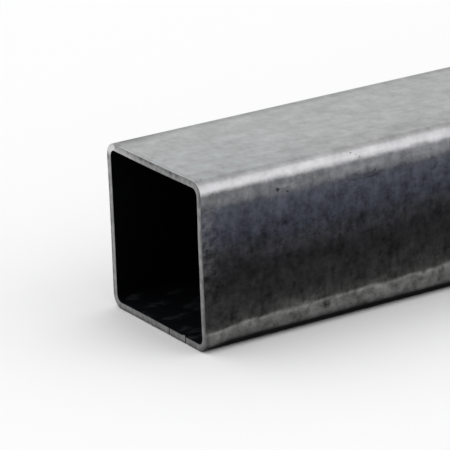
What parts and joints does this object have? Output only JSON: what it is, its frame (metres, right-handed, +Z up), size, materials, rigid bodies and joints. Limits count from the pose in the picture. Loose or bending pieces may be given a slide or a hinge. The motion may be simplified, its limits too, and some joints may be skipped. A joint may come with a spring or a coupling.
{
  "type": "square metal tube",
  "caption": "Straight length of square mild steel tube with rounded rolled corners, open sawn ends and a low weld bead along the inside, for frames, posts and brackets.",
  "frame": {"origin": "middle of the length, on the floor under the tube's centreline", "axes": "+X along the tube, +Y across it, +Z up from the flat it lies on"},
  "size_m": [0.9144, 0.0508, 0.0508],
  "materials": {
    "mild_steel": "bare mill finish, dull grey, satin along the length"
  },
  "bodies": {
    "root": {"square_tube": "mild_steel"}
  },
  "joints": []
}
